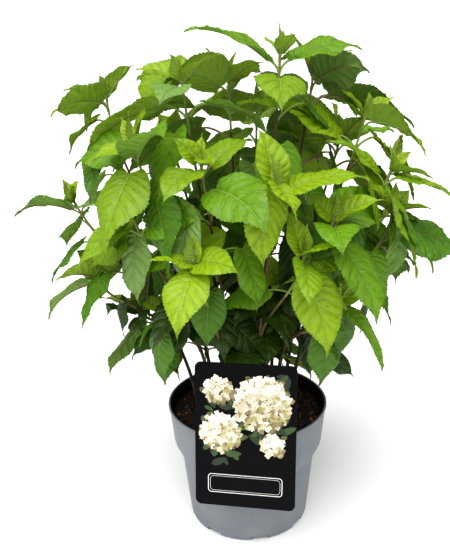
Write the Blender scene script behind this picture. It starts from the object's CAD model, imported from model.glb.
"""Looks of a young hydrangea in a nursery pot: leaves, stalks and stems grown on the plant's frame."""

import math
from collections import namedtuple

import bpy
import numpy as np
from mathutils import Matrix


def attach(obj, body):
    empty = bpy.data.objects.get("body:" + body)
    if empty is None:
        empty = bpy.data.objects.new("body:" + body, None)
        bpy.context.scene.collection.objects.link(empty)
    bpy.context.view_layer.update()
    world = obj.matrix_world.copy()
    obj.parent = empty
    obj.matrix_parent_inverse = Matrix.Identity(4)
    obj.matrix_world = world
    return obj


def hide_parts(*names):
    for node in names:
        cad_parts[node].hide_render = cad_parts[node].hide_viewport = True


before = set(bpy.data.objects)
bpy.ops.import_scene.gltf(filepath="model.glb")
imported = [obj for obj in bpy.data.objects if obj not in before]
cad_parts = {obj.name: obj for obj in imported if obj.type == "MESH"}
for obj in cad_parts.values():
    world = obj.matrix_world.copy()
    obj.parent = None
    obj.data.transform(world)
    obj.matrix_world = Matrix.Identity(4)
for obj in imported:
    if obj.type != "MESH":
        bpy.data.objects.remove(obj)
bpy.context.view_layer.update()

MM = 0.001
UP = np.array([0.0, 0.0, 1.0])

# The limits of a random turn or phase, in radians.
ANY_TURN = (0, 6.3)

# ---------------------------------------------------------------- sizes, in millimetres

POT_HEIGHT = 150
RIM_RADIUS = 95
RIM_LIP_PROUD = 0.8
COLLAR_FOOT = (89.5, 104)
BODY_TOP = (80.6, 85)
BODY_FOOT = (72.4, 5)
BASE_RADIUS = 69.5
WALL = 1.6
FLOOR = 2.2
POT_SIDES = 160
AXIS_RADIUS = 0.01
UNDERSIDE_RING = 60
FLOOR_RINGS = (67, 40)
BODY_RINGS = (30, 58, 82)
COLLAR_RINGS = (118, 134, 145.6, 146.6)
INSIDE_RINGS = (140, 118, COLLAR_FOOT[1], BODY_TOP[1], 40, BODY_FOOT[1] + 2)
SHARPEST_SMOOTH_EDGE = math.radians(38)

# The pot's rounded edges: steps out and up from the corner that each one rounds.
BASE_EDGE = ((-0.5, 0), (0.4, 0.3))
BODY_FOOT_EDGE = ((-1, -3.3), (-0.3, -1.6), (0, 0))
BODY_TOP_EDGE = ((0.1, -0.6), (0.7, 1))
COLLAR_EDGE = ((-0.9, -2.2), (-0.15, -0.4), (0.15, 1.2))
RIM_EDGE = ((-0.35, -2.8), (0, -2.1), (0, -0.7), (-0.4, -0.15), (-1.2, 0), (-2, -0.2), (-2.4, -0.8))

DRAIN_COUNT = 8
DRAIN_TURN = math.radians(8)
DRAIN_WIDTH = 20
DRAIN_RADII = (63, 78)
DRAIN_HEIGHTS = (-3, 6)

SOIL_HEIGHT = 136
SOIL_DOME = 2.5
SOIL_BUMP = 0.8
SOIL_SIDES = 180
SOIL_RINGS = 52
SOIL_MIDDLE_RADIUS = 0.5
SOIL_CLEARANCE = 0.5
SOIL_SKIRT_TOP = 112
SOIL_WAIST = (80, 84)
SOIL_FOOT = ((BASE_RADIUS - 4, FLOOR + 1), (1, FLOOR + 1))
SOIL_SINK = 0.6

# The crumbs of the soil: waves, in radians for each millimetre, and their heights.
CRUMBS = ((0.16, 0.7), (0.33, 0.55), (0.7, 0.4))
CRUMB_SHARE = 0.5
CRUMB_ROUGHNESS = 0.35
CRUMB_FADE = 4
LEAST_CRUMB = 0.2

# The chips on the soil: least and most length, width and thickness.
CHIP_COUNT = 420
CHIP_SIZES = ((2, 6.5), (1, 3), (0.5, 1.6))
CHIP_INSET = 7
CHIP_CHIPPED = 0.3
CHIP_TILTS = ((0.3, "X"), (0.25, "Y"))
CHIP_RISE = 0.2

CARD_TURN = math.radians(-10)
CARD_LEAN = math.radians(7.6)
CARD_SLIDE = 11
CARD_HEIGHT = 165
CARD_RISE = 88
CARD_THICKNESS = 0.8
CARD_LIFT = 0.3

# The card's print: places counted from the card's middle, and levels above its face.
PRINT_LEVEL = 0.06
PRINT_STEP = 0.003
POSY_LEVEL = 0.13
PETAL_STEP = 0.0006
PETAL_DOME = 0.12
POSIES = (((-27, 4), 22), ((18, 38), 31), ((30, -8), 13), ((-30, 52), 15))
BLOSSOMS_FOR_AREA = 0.2
BLOSSOM_SIZES = (2.9, 3.9)
PETAL_BREADTH = 0.98
UNDER_PETAL = (8, 6)
EYE_SIZE = 0.9
EYE_OFFSET = 0.35
BLOSSOM_DRIFT = 0.7
PETAL_TURN_DRIFT = 0.12
DARKER_PETAL_ABOVE = 0.72
GOLDEN_TURN = math.radians(137.508)
PRINT_LIT_FROM = (-0.5, 0.85)
PRINT_SHADE = 0.3
PRINT_SHADE_DRIFT = 0.16
PRINT_SHADES = 6
SPRIG_COUNT = 64
SPRIG_STEP = 0.0008
SPRIG_START = np.array([-42, -8])
SPRIG_RUN = np.array([84, 56])
SPRIG_SPREAD = 22
SPRIG_BOX = ((-46, -34), (46, 72))
SPRIG_LENGTHS = (9, 19)
SPRIG_WIDTH = 0.42
SPRIG_CENTRE_HEIGHT = 20
SPRIG_TURN_SPREAD = 0.9
PANEL_HALF = (41, 11)
PANEL_MIDDLE = (0, -56)
PANEL_CORNER = 4
PANEL_RULES = ((0, 0.8), (2.4, 0.35))

STEM_FOOT_RADIUS = 2.3
SIDE_FOOT_RADIUS = 1.9
STEM_TIP_RADIUS = 1.17
STEM_SIDES = 12
STEM_STEP = 3.5
FEWEST_STEM_STEPS = 8
JOINT_SWELL = 0.55
JOINT_SWELL_LENGTH = 3.0
FOOT_FLARE = 1.3
FOOT_FLARE_LENGTH = 9
BARK_RELIEF = 0.045
BARK_ROUGHNESS = 0.55
WOODY_BELOW = 215
GREEN_TIP_LENGTH = 60
BUD_LENGTH = 7
BUD_RADIUS = 1.5
BUD_SIDES = 7

# ---------------------------------------------------------------- growth, in millimetres and degrees

FOOT_LEAST = 10
FOOT_SHARE = 0.26
FOOT_DEPTH = 4
FORK_SHARE = 0.36
LEADER_LOW = (0.5, 0.08)
LEADER_HIGH = (0.26, 0.24)
SIDE_ALONG = 0.35
SIDE_DROP = 0.3
SHOOTS_AT_MOST = 3

SOIL_SEED = 7
CHIP_SEED = 11
PRINT_SEED = 23
LEAF_SEED_STEP = 97
BARK_SEED_STEP = 5

# The tones of the leaves, as the numbers that stems and leaves use.
YOUNG, LIME, FRESH, SUMMER, GROWN, SILVERY, DEEP, DUSKY = range(8)

Shoot = namedtuple("Shoot", "tip turn pairs vigour sag tone")

# Each stem's shoots, the leader first: the growing point, the heading of the topmost pair of
# leaves, the number of pairs, the vigour, how far its leaves sag, and the tone of its spray.
STEMS = {
    "top_middle": [((38, -10, 548), 5, 11, 1.05, 0, FRESH), ((32, -36, 306), 20, 5, 0.8, 20, GROWN)],
    "top_left": [((-63, -10, 524), 90, 10, 1.0, 0, FRESH), ((-66, -46, 300), 60, 5, 0.8, 20, GROWN)],
    "top_right": [((80, 50, 526), 105, 10, 1.0, 0, DUSKY)],
    "top_back": [((-14, 62, 518), 30, 10, 1.05, 0, FRESH)],
    "left_upper": [
        ((-111, -55, 464), -34, 9, 1.0, 50, FRESH),
        ((-150, 45, 508), 90, 6, 0.85, 0, FRESH),
    ],
    "front_upper": [((-44, -85, 452), 55, 7, 0.95, 20, FRESH)],
    "front_middle": [
        ((27, -104, 432), 40, 3, 1.1, 100, LIME),
        ((54, -104, 364), 60, 4, 0.88, 50, LIME),
    ],
    "front_left": [((-52, -112, 358), 85, 3, 1.15, 60, LIME)],
    "left_front": [
        ((-112, -75, 392), 15, 7, 1.08, 45, FRESH),
        ((-96, -20, 278), 70, 5, 0.7, 35, GROWN),
    ],
    "left": [
        ((-188, 2, 398), 5, 8, 0.87, 0, SUMMER),
        ((-128, 20, 264), 100, 6, 0.85, 30, GROWN),
        ((-166, -5, 312), 5, 3, 1.1, 26, FRESH),
    ],
    "right_front": [
        ((84, -92, 396), 70, 6, 0.95, 30, FRESH),
        ((94, -84, 306), 145, 5, 0.85, 50, SUMMER),
    ],
    "right": [((152, -32, 430), 10, 9, 1.0, 20, FRESH), ((156, -30, 386), 92, 6, 1.08, 4, SUMMER)],
    "right_upper": [((132, 10, 484), 90, 9, 0.95, 0, LIME), ((88, 4, 290), 40, 5, 0.75, 25, GROWN)],
    "right_back": [
        ((118, 92, 446), 30, 9, 1.05, 0, FRESH),
        ((146, 70, 340), 100, 6, 0.95, 10, SUMMER),
    ],
    "back_middle": [((20, 112, 480), 70, 10, 1.05, 0, FRESH), ((28, 146, 372), 20, 7, 0.95, 0, FRESH)],
    "back_left": [
        ((-84, 112, 450), 30, 9, 1.05, 0, FRESH),
        ((-72, 134, 330), 80, 6, 0.95, 10, SUMMER),
    ],
}

# Pairs of leaves from the tip down: distance below the tip, stalk and blade lengths, the stalk's
# angle to the stem, and the blade's pitch and droop.
BELOW = (0, 6, 18, 39, 68, 106, 150, 200, 250, 300, 350)
STALK = (3, 7, 16, 26, 36, 42, 40, 34, 32, 28, 24)
BLADE = (27, 46, 76, 88, 86, 78, 70, 64, 60, 56, 50)
SPREAD = (12, 32, 46, 56, 62, 66, 70, 72, 74, 76, 76)
PITCH = (74, 48, 24, -6, -28, -42, -54, -60, -60, -60, -60)
DROOP = (8, 28, 52, 46, 38, 34, 30, 26, 24, 22, 20)
PAIR_TURN = 90
OUTER_DROOP = 19
INNER_LIFT = 28
SAG_FULL_FROM_PAIR = 2
STEEPEST = -76
OUTWARD_PULL = 0.45
FULL_LEAN_RADIUS = 150
HEADING_SPREAD = 26
PITCH_SPREAD = 20
SIZE_SPREAD = 0.26
LOWEST_LEAF_NODE = 178
NEAREST_FOOT_SHARE = 0.05
LOST_FROM_PAIR = 3
LOST_ABOVE = 0.5
LOWEST_TIP = 174
CARD_MIDDLE = -4
CARD_REACH = 58
LOWEST_FRONT_TIP = 199
FRONT_TIP_SLOPE = 0.48
TIP_REACH = 0.7
DROOP_MET = 0.35

# What each repeatable draw of a leaf is for.
FOR_HEADING, FOR_PITCH, FOR_SIZE, FOR_ROLL, FOR_CURL, FOR_TWIST, FOR_WIDTH = range(1, 8)
FOR_FOLD, FOR_ARCH, FOR_WAVE, FOR_TONE, FOR_STALK, FOR_LOSS = range(8, 14)

# ---------------------------------------------------------------- a leaf's shape

LEAF_WIDTH = 0.61
VEIN_PAIRS = 7
INNER_ROWS = 6
COLUMNS = (0.0, 0.0, 0.13, 0.27, 0.41, 0.55, 0.69, 0.83, 0.92, 1.0)

# Shares of the blade's length, and TOOTH_OUT of its width.
FIRST_ROW = 0.012
BASE_LOBE = 0.09
VEIN_HALF = 0.0042
RIB_HALF = 0.0065
TOOTH_FORWARD = 0.008
TOOTH_OUT = 0.013
PUCKER = 0.016
EDGE_PUCKER = 0.004
RIPPLE = 0.0045
CRINKLE = 0.0046
WAVE = 0.034

# The teeth of the margin, as shares of TOOTH_OUT: at their points, between them, and at a vein.
TOOTH_POINT = 1.0
TOOTH_NOTCH = -0.6
TOOTH_AT_VEIN = 0.4

# The faces in the furrows by the veins are most often shaded ones.
SHADED_IN_FURROW = 1.25
FURROW_DEPTH = 0.008
SHADED_LIMITS = (0.06, 0.9)

# The curve of the midrib: the share of its droop that it takes, and the curl of its tip in degrees.
RIB_SAMPLES = 41
DROOP_SHARE = 0.9
CURL_SPREAD = 0.35
TIP_CURL = 16

# How blades roll and twist to the light, in radians. The light leans out with the leaf's distance
# from the middle, and SUN_HEIGHT is its upward part.
SUN_HEIGHT = 0.75
ROLL_SHARE = 0.8
MOST_ROLL = 0.9
ROLL_SPREAD = 0.5
TWIST_SPREAD = 0.5

# How blades fold at the midrib, in degrees, and arch, wave and narrow, by the leaf's youth.
YOUNG_PAIRS = 3
WIDTH_SPREAD = 0.08
YOUNG_NARROWING = 0.1
FOLD = 12
YOUNG_FOLD = 14
FOLD_SPREAD = 9
FOLD_LOST_AT_TIP = 0.45
ARCH = 0.10
ARCH_SPREAD = 0.09
WAVES = 1.6
WAVES_SPREAD = 0.5
WAVE_SHIFT = 0.2

# How a leaf's tone drifts from its spray's, by its pair and by its own draw.
OLDER_FROM_PAIR = 4
DARK_FROM_PAIR = 6
DARK_ABOVE = -0.3
SILVERY_ABOVE = 0.82
OLDER_BELOW = -0.45
ROSY_ABOVE = 0.4

STALK_SIDES = 6
STALK_STEPS = 6
STALK_BEND = (0.25, 0.45)
STALK_RADIUS = 0.55
STALK_RADIUS_FOR_LENGTH = 0.0075
STALK_CLASP = 0.7
RIB_SHARE = 0.8
RIB_SINK = 0.8
RIB_TIP_RADIUS = 0.12
RIB_UNDER_BLADE = slice(0, 34, 3)

# ---------------------------------------------------------------- camera and light

CAMERA_PLACE = (-0.0233, -0.755, 0.562)
CAMERA_DOWN = 18.58
CAMERA_ROLL = -1.36
CAMERA_LENS = 45.8
CAMERA_SENSOR = 36

SKY_LIGHT = 0.33
SKY_SEEN = 1.05
KEY_LIGHT = 4.05
KEY_SOFTNESS = 72
KEY_TURN = (30, -10, 0)
STUDIO_HALF = 6000

# ---------------------------------------------------------------- colours


def linear(red, green, blue):
    """Linear light from the 0 to 255 values of a painted swatch."""
    def one(value):
        value /= 255
        return value / 12.92 if value < 0.04045 else ((value + 0.055) / 1.055) ** 2.4
    return (one(red), one(green), one(blue), 1.0)


# Leaf tones in the order of their numbers, each with its veins.
LEAF_TONES = (
    ("young", (152, 178, 40), (172, 195, 79)),
    ("lime", (142, 172, 20), (164, 189, 68)),
    ("fresh", (130, 162, 28), (154, 181, 74)),
    ("summer", (110, 150, 28), (136, 170, 70)),
    ("grown", (84, 126, 24), (112, 148, 60)),
    ("silvery", (130, 162, 86), (154, 180, 116)),
    ("deep", (50, 74, 14), (66, 91, 34)),
    ("dusky", (72, 108, 22), (90, 126, 44)),
)

# The share of a blade's colour that its shaded faces keep.
SHADE = (0.9, 0.925, 0.86)
UNDERSIDE = (158, 178, 118)
UNDERSIDE_SHARE = 0.38

# How light that comes through a leaf is tinted: its red and green raised, and its blue lowered.
GLOW_RAISED = 1.25
GLOW_LOWERED = 0.6

# The card's inks: the blossoms' from lit to shaded, then the leaves' and the panel's.
INKS = (
    ("white", (228, 223, 214)),
    ("cream", (212, 204, 186)),
    ("ivory", (194, 184, 158)),
    ("straw", (162, 156, 104)),
    ("beige", (132, 116, 84)),
    ("olive", (84, 88, 48)),
    ("leaf", (50, 76, 30)),
    ("moss", (26, 44, 20)),
    ("rule", (226, 226, 222)),
)
LIT_INK = 0
EYE_INK = 3
SHADED_INKS = (4, 5)
SPRIG_INKS = (6, 7)
RULE_INK = 8

# ---------------------------------------------------------------- meshes

# A box's corners, as signs along its three directions, and its faces.
BOX_CORNERS = np.array([(a, b, c) for a in (-1, 1) for b in (-1, 1) for c in (-1, 1)], float)
BOX_FACES = np.array([
    (0, 1, 3, 2), (4, 6, 7, 5), (0, 4, 5, 1), (2, 3, 7, 6), (0, 2, 6, 4), (1, 5, 7, 3),
])

# A slanting direction, square to which the first ring of every bar starts.
RING_SLANT = (0.31, 0.94, 0.12)


class Builder:
    """Collects points and faces in millimetres, then makes one object of them."""

    def __init__(self):
        self.points = []
        self.faces = []
        self.slots = []
        self.count = 0

    def add(self, points, faces, slots):
        """faces is a list of arrays of triangles or quads, with one slot number or array for each."""
        for these, slot in zip(faces, slots):
            self.faces.append(np.asarray(these) + self.count)
            self.slots.append(np.broadcast_to(slot, len(these)))
        self.points.append(np.asarray(points, float))
        self.count += len(points)

    def make(self, name, materials, smooth=True):
        mesh = bpy.data.meshes.new(name)
        points = np.concatenate(self.points) * MM
        sizes = np.concatenate([np.full(len(f), f.shape[1]) for f in self.faces])
        mesh.vertices.add(len(points))
        mesh.vertices.foreach_set("co", points.ravel())
        mesh.loops.add(int(sizes.sum()))
        mesh.loops.foreach_set("vertex_index", np.concatenate([f.ravel() for f in self.faces]))
        mesh.polygons.add(len(sizes))
        mesh.polygons.foreach_set("loop_start", np.cumsum(sizes) - sizes)
        mesh.polygons.foreach_set("loop_total", sizes)
        mesh.polygons.foreach_set("material_index", np.concatenate(self.slots))
        mesh.polygons.foreach_set("use_smooth", np.full(len(sizes), smooth))
        for material in materials:
            mesh.materials.append(material)
        mesh.update(calc_edges=True)
        mesh.validate()
        made = bpy.data.objects.new(name, mesh)
        bpy.context.scene.collection.objects.link(made)
        return made


def unit(vector):
    return vector / np.linalg.norm(vector)


def scatter(a, b, c):
    """A repeatable spread between -1 and 1."""
    wave = math.sin(a * 127.1 + b * 311.7 + c * 74.7) * 43758.5453
    return 2 * (wave - math.floor(wave)) - 1


def round_steps(count):
    """Equal turns all the way round, in radians."""
    return np.arange(count) * 2 * math.pi / count


def grid_faces(rows, columns, wrap=False):
    """Quads of a grid of points that is stored row by row."""
    across = columns if wrap else columns - 1
    row, column = np.meshgrid(np.arange(rows - 1), np.arange(across), indexing="ij")
    here = row * columns + column
    beside = row * columns + (column + 1) % columns
    quads = np.stack([here, beside, beside + columns, here + columns], -1)
    return quads.reshape(-1, 4)


def sweep(path, radii, sides):
    """A round bar along a path, closed at both ends. radii is one for each point, or for each
    point and side. Returns its points and faces."""
    path = np.asarray(path, float)
    tangents = np.gradient(path, axis=0)
    tangents /= np.linalg.norm(tangents, axis=1)[:, None]
    across = unit(np.cross(tangents[0], RING_SLANT))
    angles = round_steps(sides)
    radii = np.broadcast_to(np.asarray(radii, float).reshape(len(path), -1), (len(path), sides))
    rings = []
    for point, tangent, ring_radii in zip(path, tangents, radii):
        across = unit(across - tangent * across.dot(tangent))
        third = np.cross(tangent, across)
        ring = np.outer(np.cos(angles), across) + np.outer(np.sin(angles), third)
        rings.append(point + ring * ring_radii[:, None])
    points = np.concatenate(rings + [path[:1], path[-1:]])
    quads = grid_faces(len(path), sides, wrap=True)
    last = (len(path) - 1) * sides
    side = np.arange(sides)
    foot = np.stack([np.full(sides, last + sides), (side + 1) % sides, side], -1)
    top = np.stack([np.full(sides, last + sides + 1), last + side, last + (side + 1) % sides], -1)
    return points, [quads, np.concatenate([foot, top])]


class Line:
    """A cubic curve measured by its length, as share 0 to 1."""

    samples = 201
    nudge = 1e-4

    def __init__(self, start, first, second, end):
        self.corners = np.array([start, first, second, end], float)
        self.steps = np.linspace(0, 1, self.samples)
        walked = np.linalg.norm(np.diff(self.at_step(self.steps), axis=0), axis=1)
        self.walked = np.concatenate([[0], np.cumsum(walked)])
        self.length = self.walked[-1]

    def at_step(self, step):
        step = np.atleast_1d(step)[:, None]
        back = 1 - step
        a, b, c, d = self.corners
        return back**3 * a + 3 * back**2 * step * b + 3 * back * step**2 * c + step**3 * d

    def at(self, share):
        steps = np.interp(np.atleast_1d(share) * self.length, self.walked, self.steps)
        return self.at_step(steps)

    def tangent(self, share):
        step = float(np.interp(share * self.length, self.walked, self.steps))
        ends = self.at_step([max(0, step - self.nudge), min(1, step + self.nudge)])
        return unit(ends[1] - ends[0])


# ---------------------------------------------------------------- materials


def new_material(name):
    material = bpy.data.materials.new(name)
    material.use_nodes = True
    tree = material.node_tree
    tree.nodes.clear()
    return material, tree


def node(tree, kind, **inputs):
    """A new node with some of its sockets set."""
    made = tree.nodes.new(kind)
    for key, value in inputs.items():
        made.inputs[key.replace("_", " ")].default_value = value
    return made


def finish_surface(tree, shader):
    output = tree.nodes.new("ShaderNodeOutputMaterial")
    tree.links.new(shader.outputs[0], output.inputs["Surface"])


def make_grain():
    """A node group: patches for colour, and a height for relief, from the place on the surface."""
    group = bpy.data.node_groups.new("grain", "ShaderNodeTree")
    sockets = group.interface
    for name, value in (("Patch Scale", 30.0), ("Grain Scale", 600.0), ("Grain Share", 0.5)):
        socket = sockets.new_socket(name=name, in_out="INPUT", socket_type="NodeSocketFloat")
        socket.default_value = value
    sockets.new_socket(name="Patches", in_out="OUTPUT", socket_type="NodeSocketFloat")
    sockets.new_socket(name="Height", in_out="OUTPUT", socket_type="NodeSocketFloat")
    inside = group.nodes.new("NodeGroupInput")
    outside = group.nodes.new("NodeGroupOutput")
    place = group.nodes.new("ShaderNodeTexCoord")
    patches = node(group, "ShaderNodeTexNoise", Detail=4.0, Roughness=0.6)
    grain = node(group, "ShaderNodeTexNoise", Detail=2.0, Roughness=0.5)
    height = group.nodes.new("ShaderNodeMix")
    link = group.links.new
    link(place.outputs["Object"], patches.inputs["Vector"])
    link(place.outputs["Object"], grain.inputs["Vector"])
    link(inside.outputs["Patch Scale"], patches.inputs["Scale"])
    link(inside.outputs["Grain Scale"], grain.inputs["Scale"])
    link(inside.outputs["Grain Share"], height.inputs[0])
    link(patches.outputs[0], height.inputs[2])
    link(grain.outputs[0], height.inputs[3])
    link(patches.outputs[0], outside.inputs["Patches"])
    link(height.outputs[0], outside.inputs["Height"])
    return group


GRAIN = make_grain()
PATCH_RANGE = (0.3, 0.7)
GLOSS_DRIFT = 0.15

# Finishes: the scales of patches and grain, the grain's share, and the relief in millimetres.
MOULDED = (22, 2600, 0.8, 0.03)
PRINTED = (40, 900, 0.5, 0.01)
EARTHY = (260, 1800, 0.6, 0.5)
CHIPPED = (500, 2500, 0.6, 0.2)
OLD_BARK = (160, 1500, 0.6, 0.25)
RIPE_BARK = (140, 1500, 0.6, 0.15)
SOFT_BARK = (120, 1500, 0.6, 0.1)


def grained(name, dark, light, roughness, finish, specular=0.4):
    """A material whose colour drifts between two swatches in patches, over fine relief."""
    patch_scale, grain_scale, grain_share, relief = finish
    material, tree = new_material(name)
    surface = node(tree, "ShaderNodeBsdfPrincipled", Specular_IOR_Level=specular)
    grain = tree.nodes.new("ShaderNodeGroup")
    grain.node_tree = GRAIN
    grain.inputs["Patch Scale"].default_value = patch_scale
    grain.inputs["Grain Scale"].default_value = grain_scale
    grain.inputs["Grain Share"].default_value = grain_share
    colour = tree.nodes.new("ShaderNodeMix")
    colour.data_type = "RGBA"
    colour.inputs[6].default_value = linear(*dark)
    colour.inputs[7].default_value = linear(*light)
    spread = node(tree, "ShaderNodeMapRange", From_Min=PATCH_RANGE[0], From_Max=PATCH_RANGE[1])
    gloss = node(tree, "ShaderNodeMapRange")
    gloss.inputs["To Min"].default_value = roughness * (1 - GLOSS_DRIFT)
    gloss.inputs["To Max"].default_value = min(1, roughness * (1 + GLOSS_DRIFT))
    bump = node(tree, "ShaderNodeBump", Strength=1.0, Distance=relief * MM)
    link = tree.links.new
    link(grain.outputs["Patches"], spread.inputs["Value"])
    link(spread.outputs[0], colour.inputs[0])
    link(colour.outputs[2], surface.inputs["Base Color"])
    link(grain.outputs["Patches"], gloss.inputs["Value"])
    link(gloss.outputs[0], surface.inputs["Roughness"])
    link(grain.outputs["Height"], bump.inputs["Height"])
    link(bump.outputs[0], surface.inputs["Normal"])
    finish_surface(tree, surface)
    return material


def leafy(name, swatch, through=0.24, pale_below=True):
    """Leaf tissue: glossy above, paler and duller below, with light coming through."""
    material, tree = new_material(name)
    colour = linear(*swatch)
    below = colour
    if pale_below:
        pale = linear(*UNDERSIDE)
        below = tuple((1 - UNDERSIDE_SHARE) * c + UNDERSIDE_SHARE * p for c, p in zip(colour, pale))
    upper = node(tree, "ShaderNodeBsdfPrincipled", Base_Color=colour, Roughness=0.5)
    upper.inputs["Specular IOR Level"].default_value = 0.5
    lower = node(tree, "ShaderNodeBsdfPrincipled", Base_Color=below, Roughness=0.75)
    lower.inputs["Specular IOR Level"].default_value = 0.2
    glow = tuple(min(1, GLOW_RAISED * c) for c in colour[:2]) + (colour[2] * GLOW_LOWERED, 1.0)
    light_through = node(tree, "ShaderNodeBsdfTranslucent", Color=glow)
    sides = tree.nodes.new("ShaderNodeMixShader")
    whole = node(tree, "ShaderNodeMixShader", Fac=through)
    geometry = tree.nodes.new("ShaderNodeNewGeometry")
    link = tree.links.new
    link(geometry.outputs["Backfacing"], sides.inputs[0])
    link(upper.outputs[0], sides.inputs[1])
    link(lower.outputs[0], sides.inputs[2])
    link(sides.outputs[0], whole.inputs[1])
    link(light_through.outputs[0], whole.inputs[2])
    finish_surface(tree, whole)
    return material


def plain(name, swatch, roughness):
    """One even colour, for an ink or the studio's floor."""
    material, tree = new_material(name)
    surface = node(tree, "ShaderNodeBsdfPrincipled", Base_Color=linear(*swatch), Roughness=roughness)
    finish_surface(tree, surface)
    return material


def shaded(swatch):
    return [share * value for share, value in zip(SHADE, swatch)]


BLADES = [leafy("leaf_" + name, blade) for name, blade, vein in LEAF_TONES]
SHADES = [leafy("shade_" + name, shaded(blade)) for name, blade, vein in LEAF_TONES]
VEINS = [leafy("vein_" + name, vein, through=0.22) for name, blade, vein in LEAF_TONES]
STALKS = [
    leafy("stalk_green", (134, 160, 72), through=0.1, pale_below=False),
    leafy("stalk_rosy", (140, 128, 80), through=0.1, pale_below=False),
]
STEM_BARKS = [
    grained("bark_woody", (50, 37, 26), (88, 68, 46), 0.85, OLD_BARK),
    grained("bark_brown", (68, 56, 32), (104, 88, 52), 0.75, RIPE_BARK),
    grained("bark_green", (104, 112, 52), (130, 142, 70), 0.6, SOFT_BARK),
]
GREEN_STALK, ROSY_STALK = range(2)
WOODY_BARK, BROWN_BARK, GREEN_BARK = range(3)

# ---------------------------------------------------------------- growth


def foot_of(tip):
    reach = math.hypot(tip[0], tip[1])
    share = (FOOT_LEAST + FOOT_SHARE * reach) / reach
    return np.array([tip[0] * share, tip[1] * share, SOIL_HEIGHT - FOOT_DEPTH])


def leader_line(tip):
    """A stem from the soil to its tip: upright at first, then out."""
    tip = np.array(tip, float)
    foot = foot_of(tip)
    rise = tip[2] - foot[2]
    out = (tip - foot) * [1, 1, 0]
    first = foot + UP * LEADER_LOW[0] * rise + out * LEADER_LOW[1]
    second = tip - UP * LEADER_HIGH[0] * rise - out * LEADER_HIGH[1]
    return Line(foot, first, second, tip)


def side_line(leader, tip):
    """A side shoot, which leaves the leader at the fork."""
    tip = np.array(tip, float)
    start = leader.at(FORK_SHARE)[0]
    reach = np.linalg.norm(tip - start)
    first = start + leader.tangent(FORK_SHARE) * SIDE_ALONG * reach
    second = tip - UP * SIDE_DROP * reach
    return Line(start, first, second, tip)


def lowest_pitch(base, out, blade, droop):
    """The steepest pitch that keeps a leaf's tip above the pot, or above the card at the front."""
    end = base + out * blade * TIP_REACH
    in_front = abs(end[0] - CARD_MIDDLE) < CARD_REACH and end[1] < 0
    drop = base[2] - (LOWEST_FRONT_TIP - FRONT_TIP_SLOPE * end[1] if in_front else LOWEST_TIP)
    return -math.degrees(math.asin(max(-1, min(1, drop / blade)))) + DROOP_MET * droop


def leaf_of(line, shoot, identity, pair, side):
    """One leaf of a shoot: where its stalk leaves the stem, where its blade starts, and how it
    lies. Returns None where the stem ends, too low down, and where the leaf is lost."""
    share = 1 - BELOW[pair] / line.length
    if share < NEAREST_FOOT_SHARE:
        return None
    joint = line.at(share)[0]
    if joint[2] < LOWEST_LEAF_NODE:
        return None
    key = pair * 2 + side
    if pair >= LOST_FROM_PAIR and scatter(identity, key, FOR_LOSS) > LOST_ABOVE:
        return None
    heading = shoot.turn + PAIR_TURN * pair + 180 * side
    heading = math.radians(heading + HEADING_SPREAD * scatter(identity, key, FOR_HEADING))
    away = np.array([shoot.tip[0], shoot.tip[1], 0.0])
    lean = min(1, np.linalg.norm(away) / FULL_LEAN_RADIUS)
    away = unit(away)
    out = np.array([math.cos(heading), math.sin(heading), 0.0])
    out = unit(out + away * OUTWARD_PULL * lean)
    spread = math.radians(SPREAD[pair])
    stalk = unit(line.tangent(share) * math.cos(spread) + out * math.sin(spread))
    base = joint + stalk * STALK[pair] * shoot.vigour
    blade = BLADE[pair] * shoot.vigour * (1 + SIZE_SPREAD * scatter(identity, key, FOR_SIZE))
    facing = out.dot(away) * lean
    turn_down = OUTER_DROOP * facing if facing > 0 else INNER_LIFT * facing
    turn_down += shoot.sag * max(0, facing) * min(1, pair / SAG_FULL_FROM_PAIR)
    pitch = PITCH[pair] - turn_down + PITCH_SPREAD * scatter(identity, key, FOR_PITCH)
    return {
        "joint": joint,
        "along_stem": line.tangent(share),
        "base": base,
        "out": out,
        "pitch": max(STEEPEST, pitch, lowest_pitch(base, out, blade, DROOP[pair])),
        "blade": blade,
        "droop": DROOP[pair],
        "pair": pair,
        "tone": shoot.tone,
        "identity": identity,
        "key": key,
    }


def grow():
    """Every stem with its lines and leaves."""
    grown = {}
    for stem_index, (name, shoots) in enumerate(STEMS.items()):
        shoots = [Shoot(*values) for values in shoots]
        leader = leader_line(shoots[0].tip)
        lines = []
        leaves = []
        for shoot_index, shoot in enumerate(shoots):
            line = side_line(leader, shoot.tip) if shoot_index else leader
            lines.append((line, shoot))
            identity = stem_index * SHOOTS_AT_MOST + shoot_index
            for pair in range(shoot.pairs):
                for side in (0, 1):
                    leaf = leaf_of(line, shoot, identity, pair, side)
                    if leaf:
                        leaves.append(leaf)
        grown[name] = (lines, leaves)
    return grown


# ---------------------------------------------------------------- leaves


def blade_rows():
    """Rows of a flat leaf from its base to its tip, two at each side vein: the step along the
    margin, the side of the vein, the bulge between veins, and the tooth at the margin."""
    intervals = VEIN_PAIRS + 1
    rows = [(FIRST_ROW, 0.0, 0.0, 0.0)]
    for interval in range(1, intervals + 1):
        for inner in range(1, INNER_ROWS + 1):
            share = inner / (INNER_ROWS + 1)
            step = (interval - 1 + share) / intervals
            tooth = TOOTH_POINT if inner % 2 else TOOTH_NOTCH
            rows.append((step, 0.0, math.sin(math.pi * share), tooth))
        if interval < intervals:
            rows.append((interval / intervals, -1.0, 0.0, TOOTH_AT_VEIN))
            rows.append((interval / intervals, 1.0, 0.0, TOOTH_AT_VEIN))
    return np.array(rows).T[:, :, None]


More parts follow.
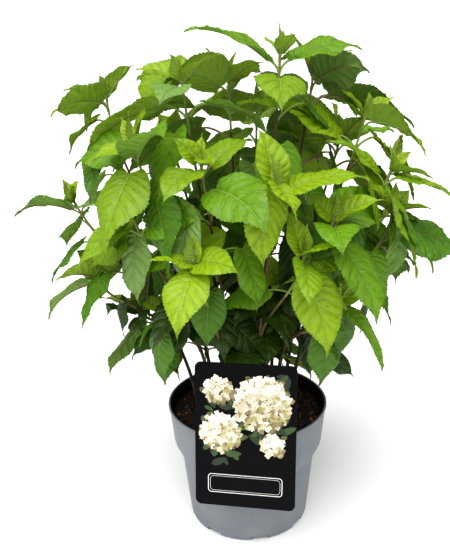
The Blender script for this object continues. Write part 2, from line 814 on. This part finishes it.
def blade_pattern():
    """A flat leaf of length 1, as a grid whose rows follow the side veins.

    Returns forward, aside and relief for each point, how far each lies from midrib to margin,
    and the faces with 0 for blade and 1 for vein."""
    step, shift, bulge, tooth = blade_rows()
    out = np.array(COLUMNS)[None, :]
    margin_forward = step**1.2 - BASE_LOBE * (1 - step) ** 7
    margin_aside = 0.5 * (step + 0.015) ** 0.48 * (1 - step) ** (0.74 + 1.1 * step**4) / 0.42
    rib_forward = step**2.1
    near_base = np.minimum(1, step * (VEIN_PAIRS + 1) / 3)
    strip = VEIN_HALF * (1 - 0.65 * out) * (near_base + (1 - near_base) * np.minimum(1, 4 * out))
    forward = rib_forward + (margin_forward - rib_forward) * out**1.25 + shift * strip
    aside = margin_aside * out**0.95
    rib = RIB_HALF * (1 - 0.7 * rib_forward) / LEAF_WIDTH
    aside[:, 1] = np.minimum(rib[:, 0], margin_aside[:, 0] * 0.5)
    edge = (out == 1) * np.minimum(1, margin_aside / 0.14) ** 1.5
    forward = forward + edge * TOOTH_FORWARD * (tooth > 0)
    aside = aside + edge * TOOTH_OUT * tooth
    relief = PUCKER * bulge * np.sin(math.pi * np.clip(out, 0, 1) ** 0.8) ** 0.7
    ripple = np.where(np.arange(len(COLUMNS)) % 2, 1.0, -1.0)
    relief = relief + EDGE_PUCKER * bulge * out + RIPPLE * ripple * bulge * (out > 0) * (out < 1)
    half = [np.broadcast_to(values, forward.shape) for values in (forward, aside, relief, out)]
    whole = []
    for values, sign in zip(half, (1, -1, 1, -1)):
        whole.append(np.concatenate([values[:, :0:-1] * sign, values], axis=1))
    rows, columns = whole[0].shape
    grids = [np.append(values.ravel(), tip) for values, tip in zip(whole, (1.0, 0.0, 0.0, 0.0))]
    quads = grid_faces(rows, columns)[:, ::-1]
    vein_row = step.ravel()[1:] == step.ravel()[:-1]
    middle = columns // 2
    vein_column = np.isin(np.arange(columns - 1), (middle - 1, middle))
    veins = (vein_row[:, None] | vein_column[None, :]).ravel().astype(int)
    last = (rows - 1) * columns + np.arange(columns - 1)
    tip_faces = np.stack([np.full(columns - 1, rows * columns), last + 1, last], -1)
    return grids, [quads, tip_faces], [veins, vein_column.astype(int)]


PATTERN, PATTERN_FACES, PATTERN_VEINS = blade_pattern()


def shaded_share():
    """How likely each face of the blade is to be a shaded one: most so in the furrows by the veins."""
    relief = PATTERN[2]
    shares = []
    for faces in PATTERN_FACES:
        height = relief[faces].mean(axis=1)
        shares.append(np.clip(SHADED_IN_FURROW - height / FURROW_DEPTH, *SHADED_LIMITS))
    return shares


PATTERN_SHADED = shaded_share()

Rib = namedtuple("Rib", "shares points along aside upward")


def draw(leaf, purpose):
    """The leaf's own repeatable draw for one purpose, between -1 and 1."""
    return scatter(leaf["identity"], leaf["key"], purpose)


def midrib(leaf):
    """The midrib's points and its three directions: along, aside and out of the upper face."""
    shares = np.linspace(0, 1, RIB_SAMPLES)
    curl = 1 + CURL_SPREAD * draw(leaf, FOR_CURL)
    bend = leaf["droop"] * DROOP_SHARE * curl * shares**1.2
    angles = np.radians(leaf["pitch"] - bend - TIP_CURL * shares**6)
    out = leaf["out"]
    along = np.outer(np.cos(angles), out) + np.outer(np.sin(angles), UP)
    steps = along[:-1] * leaf["blade"] / (RIB_SAMPLES - 1)
    points = leaf["base"] + np.concatenate([[np.zeros(3)], np.cumsum(steps, axis=0)])
    aside = unit(np.cross(UP, out))
    middle = leaf["base"] + out * leaf["blade"] * 0.5
    sunward = np.array([middle[0] / FULL_LEAN_RADIUS, middle[1] / FULL_LEAN_RADIUS, SUN_HEIGHT])
    start = np.radians(leaf["pitch"] - leaf["droop"] * DROOP_MET)
    forward = out * math.cos(start) + UP * math.sin(start)
    face = np.cross(forward, aside)
    roll = math.atan2(sunward.dot(aside), sunward.dot(face))
    roll = max(-MOST_ROLL, min(MOST_ROLL, roll * ROLL_SHARE)) + ROLL_SPREAD * draw(leaf, FOR_ROLL)
    twist = roll + TWIST_SPREAD * draw(leaf, FOR_TWIST) * shares
    asides = np.cos(twist)[:, None] * aside - np.sin(twist)[:, None] * face
    asides -= along * np.sum(along * asides, axis=1)[:, None]
    asides /= np.linalg.norm(asides, axis=1)[:, None]
    return Rib(shares, points, along, asides, np.cross(along, asides))


def tone_of(leaf):
    """Young leaves are bright, older ones take their spray's tone, and a few are silvery or deep."""
    spray = leaf["tone"]
    pair = leaf["pair"]
    if pair == 0:
        return YOUNG
    if pair == 1:
        return min(spray, LIME)
    drift = draw(leaf, FOR_TONE)
    if spray >= GROWN or pair >= DARK_FROM_PAIR:
        dark = DUSKY if spray == DUSKY and pair < DARK_FROM_PAIR else DEEP
        return dark if drift > DARK_ABOVE else GROWN
    if drift > SILVERY_ABOVE:
        return SILVERY
    older = (1 if pair >= OLDER_FROM_PAIR else 0) + (1 if drift < OLDER_BELOW else 0)
    return min(spray + older, GROWN)


def blade_lift(leaf, rib_place, across, width, young):
    """The blade's fold at each point, and how far its fold, arch and waves lift it."""
    aside = PATTERN[1]
    out = PATTERN[3]
    fold = np.radians(FOLD + YOUNG_FOLD * young + FOLD_SPREAD * draw(leaf, FOR_FOLD))
    fold = fold * (1 - FOLD_LOST_AT_TIP * rib_place)
    arch = ARCH * (1 - young) + ARCH_SPREAD * draw(leaf, FOR_ARCH)
    waves = WAVES + WAVES_SPREAD * draw(leaf, FOR_WAVE)
    wave = np.sin(2 * math.pi * (rib_place * waves + np.sign(out) * WAVE_SHIFT))
    fade = np.minimum(1, 3 * rib_place) * (1 - rib_place**6)
    lift = np.abs(across) * np.sin(fold) - arch * width * 4 * aside**2
    lift = lift + WAVE * leaf["blade"] * wave * np.abs(out) ** 1.6 * fade
    return fold, lift


def add_leaf(builder, leaf):
    """One leaf: the flat pattern bent along its midrib, with its faces dealt out to the slots."""
    length = leaf["blade"]
    forward, aside, relief, out = PATTERN
    rib = midrib(leaf)
    rib_place = np.clip(forward, 0, 1)

    def along_rib(values):
        return np.stack([np.interp(rib_place, rib.shares, values[:, i]) for i in range(3)], -1)

    spine = along_rib(rib.points) + along_rib(rib.along) * (np.minimum(forward, 0) * length)[:, None]
    young = max(0.0, 1 - leaf["pair"] / YOUNG_PAIRS)
    width = LEAF_WIDTH * length * (1 + WIDTH_SPREAD * draw(leaf, FOR_WIDTH))
    width = width * (1 - YOUNG_NARROWING * young)
    across = aside * width
    fold, lift = blade_lift(leaf, rib_place, across, width, young)
    rough = np.random.default_rng(leaf["identity"] * LEAF_SEED_STEP + leaf["key"])
    crinkle = rough.normal(0, CRINKLE, len(relief)) * (np.abs(out) > 0.05)
    lift = lift + (relief * (1 + 0.5 * young) + crinkle) * length
    points = spine + along_rib(rib.aside) * (across * np.cos(fold))[:, None]
    points = points + along_rib(rib.upward) * lift[:, None]
    tone = tone_of(leaf)
    slots = []
    for faces, veins, likely in zip(PATTERN_FACES, PATTERN_VEINS, PATTERN_SHADED):
        dark = rough.random(len(faces)) < likely
        kind = np.where(veins == 1, 2, dark)
        slots.append(kind * len(BLADES) + tone)
    builder.add(points, PATTERN_FACES, slots)


def add_stalk(builder, leaf):
    """The leaf's stalk, thicker where it clasps the stem, running on under the blade as its rib."""
    rib = midrib(leaf)
    joint = leaf["joint"]
    base = leaf["base"]
    reach = np.linalg.norm(base - joint)
    bend = joint + leaf["along_stem"] * reach * STALK_BEND[0] + (base - joint) * STALK_BEND[1]
    steps = np.linspace(0, 1, STALK_STEPS + 1)[:-1, None]
    stalk = (1 - steps) ** 2 * joint + 2 * steps * (1 - steps) * bend + steps**2 * base
    thick = STALK_RADIUS + STALK_RADIUS_FOR_LENGTH * leaf["blade"]
    rib_radii = RIB_SHARE * thick * (1 - rib.shares[RIB_UNDER_BLADE]) + RIB_TIP_RADIUS
    sunk = rib.upward[RIB_UNDER_BLADE] * rib_radii[:, None] * RIB_SINK
    stalk_radii = thick * (1 + STALK_CLASP * np.exp(-np.linspace(0, 9, STALK_STEPS)))
    path = np.concatenate([stalk, rib.points[RIB_UNDER_BLADE] - sunk])
    points, faces = sweep(path, np.concatenate([stalk_radii, rib_radii]), STALK_SIDES)
    rosy = leaf["tone"] >= SUMMER or draw(leaf, FOR_STALK) > ROSY_ABOVE
    slot = ROSY_STALK if rosy else GREEN_STALK
    builder.add(points, faces, [slot, slot])


def add_bud(builder, line):
    """The closed tip of a shoot between its youngest leaves."""
    steps = np.linspace(0, 1, 6)
    path = line.at(1)[0] + np.outer(steps * BUD_LENGTH, line.tangent(1))
    radii = BUD_RADIUS * np.sin(math.pi * (0.35 + 0.6 * steps)) + 0.1
    points, faces = sweep(path, radii, BUD_SIDES)
    builder.add(points, faces, [GREEN_STALK, GREEN_STALK])


# ---------------------------------------------------------------- stems


def add_stem(builder, line, shoot, is_leader, seed):
    """A stem with relief in its bark: long ridges low down, and a swelling at each pair of leaves."""
    count = max(FEWEST_STEM_STEPS, int(line.length / STEM_STEP))
    shares = np.linspace(0, 1, count)
    foot = STEM_FOOT_RADIUS if is_leader else SIDE_FOOT_RADIUS
    radii = foot + (STEM_TIP_RADIUS * shoot.vigour - foot) * shares**0.8
    below = (1 - shares) * line.length
    for distance in BELOW[: shoot.pairs]:
        radii = radii + JOINT_SWELL * np.exp(-(((below - distance) / JOINT_SWELL_LENGTH) ** 2))
    if is_leader:
        radii = radii + FOOT_FLARE * np.exp(-shares * line.length / FOOT_FLARE_LENGTH)
    rough = np.random.default_rng(seed)
    phase = rough.uniform(*ANY_TURN, 3)
    turn = round_steps(STEM_SIDES)
    height = (shares * line.length)[:, None]
    ridges = np.sin(3 * turn + phase[0] + height * 0.02) + 0.6 * np.sin(5 * turn + phase[1])
    ridges = ridges + rough.normal(0, BARK_ROUGHNESS, (count, STEM_SIDES))
    woody = np.clip(1.3 - 1.6 * shares, 0.15, 1)[:, None]
    relief = radii[:, None] * (1 + BARK_RELIEF * woody * ridges)
    places = line.at(shares)
    points, faces = sweep(places, relief, STEM_SIDES)
    young = np.where(below[:-1] > GREEN_TIP_LENGTH, BROWN_BARK, GREEN_BARK)
    slot = np.where(places[:-1, 2] < WOODY_BELOW, WOODY_BARK, young)
    builder.add(points, faces, [np.repeat(slot, STEM_SIDES), GREEN_BARK])


# ---------------------------------------------------------------- pot and soil


def outer_radius(height):
    rows = [BODY_FOOT, BODY_TOP, COLLAR_FOOT, (RIM_RADIUS - RIM_LIP_PROUD, POT_HEIGHT)]
    return float(np.interp(height, [row[1] for row in rows], [row[0] for row in rows]))


def wall_points(heights, inset=0.0):
    return [(outer_radius(height) - inset, height) for height in heights]


def rounded(corner, steps):
    return [(corner[0] + out, corner[1] + rise) for out, rise in steps]


def turned(profile, segments):
    """Points and quads of a profile of (radius, height) turned round the upright axis."""
    turn = round_steps(segments)
    rings = [
        np.stack([radius * np.cos(turn), radius * np.sin(turn), np.full(segments, height)], -1)
        for radius, height in np.asarray(profile, float)
    ]
    return np.concatenate(rings), grid_faces(len(profile), segments, wrap=True)


def make_pot(outside, inside):
    """The turned pot with its collar and rolled edges, its drains cut through the foot."""
    outer = [(AXIS_RADIUS, 0), (UNDERSIDE_RING, 0)]
    outer += rounded((BASE_RADIUS, 0), BASE_EDGE)
    outer += rounded(BODY_FOOT, BODY_FOOT_EDGE)
    outer += wall_points(BODY_RINGS)
    outer += rounded(BODY_TOP, BODY_TOP_EDGE)
    outer += rounded(COLLAR_FOOT, COLLAR_EDGE)
    outer += wall_points(COLLAR_RINGS)
    outer += rounded((RIM_RADIUS, POT_HEIGHT), RIM_EDGE)
    inner = wall_points(INSIDE_RINGS, WALL)
    inner += [(radius, FLOOR) for radius in (*FLOOR_RINGS, AXIS_RADIUS)]
    points, quads = turned(outer + inner, POT_SIDES)
    slots = (np.arange(len(quads)) >= (len(outer) - 1) * POT_SIDES).astype(int)
    builder = Builder()
    builder.add(points, [quads], [slots])
    pot = builder.make("pot_shell", [outside, inside])
    cutter = drain_cutter()
    cut = pot.modifiers.new("drains", "BOOLEAN")
    cut.object = cutter
    cut.solver = "EXACT"
    cut_pot = pot.evaluated_get(bpy.context.evaluated_depsgraph_get())
    pot.data = bpy.data.meshes.new_from_object(cut_pot)
    pot.modifiers.clear()
    bpy.data.objects.remove(cutter)
    pot.data.set_sharp_from_angle(angle=SHARPEST_SMOOTH_EDGE)
    return pot


def drain_cutter():
    """A box for each drain, which stands across the pot's foot."""
    builder = Builder()
    for index in range(DRAIN_COUNT):
        turn = DRAIN_TURN + index * 2 * math.pi / DRAIN_COUNT
        out = np.array([math.sin(turn), -math.cos(turn), 0])
        beside = np.array([-out[1], out[0], 0])
        points = [
            out * radius + beside * side * DRAIN_WIDTH / 2 + UP * height
            for radius in DRAIN_RADII
            for side in (-1, 1)
            for height in DRAIN_HEIGHTS
        ]
        builder.add(points, [BOX_FACES], [0])
    return builder.make("drain_cutter", [])


def soil_surface(x, y):
    dome = SOIL_DOME * (1 - np.hypot(x, y) / COLLAR_FOOT[0])
    lumps = np.sin(x * 0.11 + 1) * np.cos(y * 0.09) + np.sin((x + y) * 0.06)
    return SOIL_HEIGHT + dome + SOIL_BUMP * lumps


def make_soil(earth):
    """The crumbly top of the soil, with its sides and bottom hidden in the pot."""
    rough = np.random.default_rng(SOIL_SEED)
    edge = outer_radius(SOIL_SKIRT_TOP) - WALL - SOIL_CLEARANCE
    radii = np.linspace(SOIL_MIDDLE_RADIUS, edge, SOIL_RINGS)
    points, quads = turned([(radius, SOIL_HEIGHT) for radius in radii], SOIL_SIDES)
    x, y = points[:, 0], points[:, 1]
    crumbs = np.zeros(len(points))
    for size, height in CRUMBS:
        a, b, c, d = rough.uniform(*ANY_TURN, 4)
        crumbs += height * np.sin(x * size + a + 2 * np.sin(y * size * 0.7 + c))
        crumbs += height * np.sin(y * size * 1.1 + b + 2 * np.sin(x * size * 0.8 + d))
    crumbs = crumbs * CRUMB_SHARE + rough.normal(0, CRUMB_ROUGHNESS, len(points))
    fade = np.clip((edge - np.hypot(x, y)) / CRUMB_FADE, LEAST_CRUMB, 1)
    points[:, 2] = soil_surface(x, y) + crumbs * fade - SOIL_SINK
    skirt, skirt_quads = turned([(edge, SOIL_SKIRT_TOP), SOIL_WAIST, *SOIL_FOOT], SOIL_SIDES)
    builder = Builder()
    builder.add(points, [quads], [0])
    builder.add(skirt, [skirt_quads[:, ::-1]], [0])
    return builder.make("soil_crumb", [earth])


def make_chips(barks):
    """Bark chips and bits of fibre lying on the soil."""
    rough = np.random.default_rng(CHIP_SEED)
    builder = Builder()
    edge = outer_radius(SOIL_HEIGHT) - WALL - CHIP_INSET
    for _ in range(CHIP_COUNT):
        radius = edge * math.sqrt(rough.uniform(0.02, 1))
        turn = rough.uniform(*ANY_TURN)
        x = radius * math.cos(turn)
        y = radius * math.sin(turn)
        size = np.array([rough.uniform(least, most) for least, most in CHIP_SIZES])
        chipped = 1 + rough.uniform(-CHIP_CHIPPED, CHIP_CHIPPED, BOX_CORNERS.shape)
        corners = BOX_CORNERS * size / 2 * chipped
        spin = Matrix.Rotation(rough.uniform(*ANY_TURN), 3, "Z")
        for tilt, axis in CHIP_TILTS:
            spin = spin @ Matrix.Rotation(rough.normal(0, tilt), 3, axis)
        middle = np.array([x, y, soil_surface(x, y) + size[2] * CHIP_RISE])
        points = corners @ np.array(spin).T + middle
        builder.add(points, [BOX_FACES], [rough.integers(0, len(barks))])
    return builder.make("soil_chips", barks, smooth=False)


# ---------------------------------------------------------------- card


def card_axes():
    """Where the card hangs on the rim, and its three directions: along, up and out."""
    out = np.array([math.sin(CARD_TURN), -math.cos(CARD_TURN), 0.0])
    along = np.array([math.cos(CARD_TURN), math.sin(CARD_TURN), 0.0])
    rise = UP * math.cos(CARD_LEAN) - out * math.sin(CARD_LEAN)
    front = np.cross(along, rise)
    return out * (RIM_RADIUS + CARD_LIFT) + UP * POT_HEIGHT, along, rise, front


def on_card(points, level):
    """Points of the card's own plane, counted from its middle, at a level above its face."""
    origin, along, rise, front = card_axes()
    points = np.asarray(points, float)
    x = points[:, 0] + CARD_SLIDE
    y = points[:, 1] + CARD_RISE - CARD_HEIGHT / 2
    level = np.broadcast_to(level, len(points))
    away = (CARD_THICKNESS + level)[:, None] * front
    return origin + x[:, None] * along + y[:, None] * rise + away


def direction(turn):
    return np.array([math.cos(turn), math.sin(turn)])


def add_petal(builder, centre, turn, length, width, level, slot):
    """One rounded petal of a printed blossom, very slightly raised."""
    steps = np.linspace(0, 1, 9)
    side = np.sin(math.pi * steps**0.75) ** 0.6 * width / 2
    forward = length * steps
    x = np.concatenate([forward, forward[-2:0:-1]])
    y = np.concatenate([side, -side[-2:0:-1]])
    along, up = direction(turn)
    shape = np.stack([x * along - y * up, x * up + y * along], -1)
    middle = shape.mean(axis=0)
    points = on_card(np.concatenate([shape, [middle]]) + centre, level)
    points[-1] = on_card([middle + centre], level + PETAL_DOME)[0]
    count = len(shape)
    around = np.arange(count)
    faces = np.stack([around, (around + 1) % count, np.full(count, count)], -1)
    if np.cross(shape[0] - middle, shape[3] - middle) < 0:
        faces = faces[:, ::-1]
    builder.add(points, [faces], [slot])


def one_of(neighbours, rough):
    """One of two inks that stand side by side."""
    return rough.integers(neighbours[0], neighbours[1] + 1)


def add_posy(builder, middle, radius, level, rough):
    """A round head of four-petalled blossoms, lit from the upper left. Returns the level above it."""
    count = int(radius * radius * BLOSSOMS_FOR_AREA)
    for _ in range(count // 2):
        reach = radius * math.sqrt(rough.uniform(0, 0.9))
        centre = middle + reach * direction(rough.uniform(0, 2 * math.pi))
        turn = rough.uniform(*ANY_TURN)
        add_petal(builder, centre, turn, *UNDER_PETAL, level, one_of(SHADED_INKS, rough))
    level += PRINT_STEP
    for index in rough.permutation(count):
        reach = radius * math.sqrt((index + 0.5) / count)
        offset = reach * direction(index * GOLDEN_TURN) + rough.normal(0, BLOSSOM_DRIFT, 2)
        shade = PRINT_SHADE - PRINT_SHADE * offset.dot(PRINT_LIT_FROM) / radius
        shade = shade + rough.normal(0, PRINT_SHADE_DRIFT)
        ink = int(np.clip(shade * PRINT_SHADES, LIT_INK, SHADED_INKS[0]))
        start = rough.uniform(*ANY_TURN)
        size = rough.uniform(*BLOSSOM_SIZES)
        for petal in range(4):
            turn = start + petal * math.pi / 2 + rough.normal(0, PETAL_TURN_DRIFT)
            tint = min(SHADED_INKS[1], ink + int(rough.uniform(0, 1) > DARKER_PETAL_ABOVE))
            raised = level + PETAL_STEP * petal
            add_petal(builder, middle + offset, turn, size, size * PETAL_BREADTH, raised, tint)
        eye = middle + offset - EYE_OFFSET
        add_petal(builder, eye, start, EYE_SIZE, EYE_SIZE, level + PRINT_STEP / 2, EYE_INK)
        level += PRINT_STEP
    return level


def add_sprigs(builder, rough):
    """Dark leaves scattered along a slope, pointing to the middle of the print."""
    for index in range(SPRIG_COUNT):
        centre = SPRIG_START + SPRIG_RUN * rough.uniform(0, 1) + rough.normal(0, SPRIG_SPREAD, 2)
        centre = np.clip(centre, *SPRIG_BOX)
        length = rough.uniform(*SPRIG_LENGTHS)
        turn = math.atan2(SPRIG_CENTRE_HEIGHT - centre[1], -centre[0])
        turn = turn + rough.normal(0, SPRIG_TURN_SPREAD)
        level = PRINT_LEVEL + SPRIG_STEP * index
        ink = one_of(SPRIG_INKS, rough)
        add_petal(builder, centre, turn, length, length * SPRIG_WIDTH, level, ink)


def add_rule(builder, inset, thickness):
    """A thin printed line round the empty rounded panel."""
    shape = []
    half = np.array(PANEL_HALF) - inset - PANEL_CORNER
    for index, signs in enumerate(((1, 1), (-1, 1), (-1, -1), (1, -1))):
        for step in np.linspace(0, math.pi / 2, 6):
            out = direction(index * math.pi / 2 + step)
            shape.append(np.concatenate([half * signs + PANEL_CORNER * out, out]))
    shape = np.array(shape)
    outer = shape[:, :2] + PANEL_MIDDLE
    inner = outer - shape[:, 2:] * thickness
    points = on_card(np.concatenate([outer, inner]), PRINT_LEVEL)
    builder.add(points, [grid_faces(2, len(shape), wrap=True)[:, ::-1]], [RULE_INK])


def make_print(inks):
    """Round heads of cream blossoms among dark leaves, over an empty ruled panel."""
    rough = np.random.default_rng(PRINT_SEED)
    builder = Builder()
    add_sprigs(builder, rough)
    level = POSY_LEVEL
    for middle, radius in POSIES:
        level = add_posy(builder, np.array(middle, float), radius, level, rough)
    for inset, thickness in PANEL_RULES:
        add_rule(builder, inset, thickness)
    return builder.make("card_print", inks)


# ---------------------------------------------------------------- assembly


def place(piece, slot_name, *nodes):
    """Rides on the plant's one body and stands for the given nodes."""
    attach(piece, "root")
    if nodes:
        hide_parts(*nodes)


def dress_plant():
    for index, (name, (lines, leaves)) in enumerate(grow().items()):
        blades = Builder()
        stalks = Builder()
        bark = Builder()
        for leaf in leaves:
            add_leaf(blades, leaf)
            add_stalk(stalks, leaf)
        for number, (line, shoot) in enumerate(lines):
            add_stem(bark, line, shoot, number == 0, index * BARK_SEED_STEP + number)
            add_bud(stalks, line)
        leaf_piece = blades.make("leaves_" + name, BLADES + SHADES + VEINS)
        place(leaf_piece, "leaf_green", "foliage_" + name)
        place(stalks.make("stalks_" + name, STALKS), "stem_bark")
        place(bark.make("bark_" + name, STEM_BARKS), "stem_bark", "stem_" + name)


def dress_pot():
    outside = grained("pot_grey", (107, 111, 117), (125, 129, 133), 0.5, MOULDED)
    inside = grained("pot_black", (10, 10, 11), (18, 18, 19), 0.45, MOULDED)
    place(make_pot(outside, inside), "pot_grey", "pot")
    earth = grained("earth", (14, 9, 6), (40, 26, 17), 0.95, EARTHY)
    place(make_soil(earth), "soil_brown", "soil")
    barks = [
        grained("chip_brown", (58, 33, 22), (100, 62, 42), 0.85, CHIPPED),
        grained("chip_tan", (84, 54, 38), (136, 98, 70), 0.85, CHIPPED),
        grained("chip_black", (14, 10, 8), (30, 21, 15), 0.85, CHIPPED),
    ]
    place(make_chips(barks), "soil_brown")


def dress_card():
    black = grained("card_black", (6, 5, 8), (10, 9, 12), 0.35, PRINTED, specular=0.1)
    for name in ("card", "card_hook"):
        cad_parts[name].data.materials.clear()
        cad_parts[name].data.materials.append(black)
    inks = [plain("ink_" + name, swatch, 0.35) for name, swatch in INKS]
    place(make_print(inks), "card_black")


def light_studio():
    builder = Builder()
    corners = [(x * STUDIO_HALF, y * STUDIO_HALF, 0) for x, y in ((-1, -1), (1, -1), (1, 1), (-1, 1))]
    builder.add(corners, [np.array([[0, 1, 2, 3]])], [0])
    white = plain("studio_white", (248, 248, 248), 0.9)
    builder.make("studio_floor", [white], smooth=False)
    world = bpy.data.worlds.new("studio")
    world.use_nodes = True
    tree = world.node_tree
    background = tree.nodes["Background"]
    background.inputs["Color"].default_value = (1, 1, 1, 1)
    seen = tree.nodes.new("ShaderNodeLightPath")
    strength = tree.nodes.new("ShaderNodeMapRange")
    strength.inputs["To Min"].default_value = SKY_LIGHT
    strength.inputs["To Max"].default_value = SKY_SEEN
    tree.links.new(seen.outputs["Is Camera Ray"], strength.inputs["Value"])
    tree.links.new(strength.outputs[0], background.inputs["Strength"])
    bpy.context.scene.world = world
    lamp = bpy.data.lights.new("key", "SUN")
    lamp.energy = KEY_LIGHT
    lamp.angle = math.radians(KEY_SOFTNESS)
    holder = bpy.data.objects.new("key", lamp)
    holder.rotation_euler = [math.radians(angle) for angle in KEY_TURN]
    bpy.context.scene.collection.objects.link(holder)


def set_camera():
    lens = bpy.data.cameras.new("camera")
    lens.lens = CAMERA_LENS
    lens.sensor_width = CAMERA_SENSOR
    camera = bpy.data.objects.new("camera", lens)
    tilt = Matrix.Rotation(math.radians(90 - CAMERA_DOWN), 4, "X")
    roll = Matrix.Rotation(math.radians(CAMERA_ROLL), 4, "Z")
    camera.matrix_world = Matrix.Translation(CAMERA_PLACE) @ (tilt @ roll)
    bpy.context.scene.collection.objects.link(camera)
    bpy.context.scene.camera = camera
    bpy.context.scene.view_settings.view_transform = "Standard"
    bpy.context.scene.view_settings.look = "Medium High Contrast"


set_camera()
light_studio()
dress_plant()
dress_pot()
dress_card()
